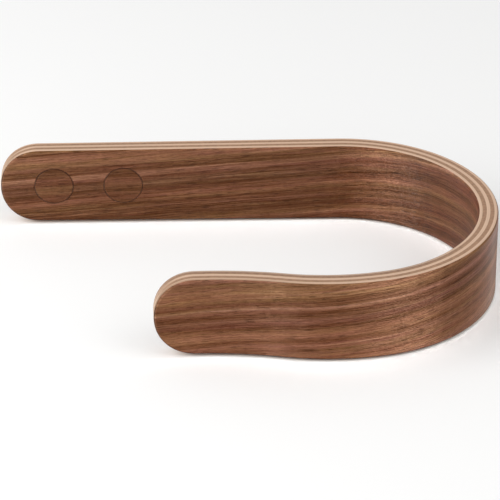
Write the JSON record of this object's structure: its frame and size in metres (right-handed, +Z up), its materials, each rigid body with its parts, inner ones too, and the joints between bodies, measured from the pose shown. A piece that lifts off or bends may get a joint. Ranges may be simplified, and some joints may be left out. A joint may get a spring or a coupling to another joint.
{
  "type": "headphone wall hook",
  "caption": "Moulded plywood wall hook with a wide return bend for hanging headphones, with round magnetic caps over its wall screws.",
  "frame": {"origin": "on the wall face of the long leg, half way between the two wall screws, at the middle of the strip's width", "axes": "+X along the long leg towards the bend, +Y into the wall, +Z up along the strip's width"},
  "size_m": [0.2236, 0.162, 0.0384],
  "materials": {
    "walnut_face": "walnut veneer, satin oil, grain along the strip",
    "long_grain_ply": "pale hardwood ply, fine sanded edge",
    "cross_grain_ply": "pale hardwood ply with end grain showing at the edge, fine sanded",
    "cap_walnut": "walnut veneer, satin oil",
    "cap_core_wood": "pale hardwood, sanded",
    "screw_steel": "zinc plated steel",
    "magnet_plating": "nickel plated magnet"
  },
  "bodies": {
    "hook": {"outer_face_veneer": "walnut_face", "core_ply_1_long_grain": "long_grain_ply", "core_ply_2_cross_grain": "cross_grain_ply", "core_ply_3_long_grain": "long_grain_ply", "core_ply_4_cross_grain": "cross_grain_ply", "core_ply_5_long_grain": "long_grain_ply", "inner_face_veneer": "walnut_face", "screw_left": "screw_steel", "screw_right": "screw_steel"},
    "cap_left": {"cap_left_veneer": "cap_walnut", "cap_left_core": "cap_core_wood", "cap_left_magnet": "magnet_plating"},
    "cap_right": {"cap_right_veneer": "cap_walnut", "cap_right_core": "cap_core_wood", "cap_right_magnet": "magnet_plating"}
  },
  "joints": [
    {"name": "cap_left_lift_off", "type": "slide", "parent": "hook", "child": "cap_left", "axis": [0, -1, 0], "range_m": [0, 0.02]},
    {"name": "cap_right_lift_off", "type": "slide", "parent": "hook", "child": "cap_right", "axis": [0, -1, 0], "range_m": [0, 0.02]}
  ]
}
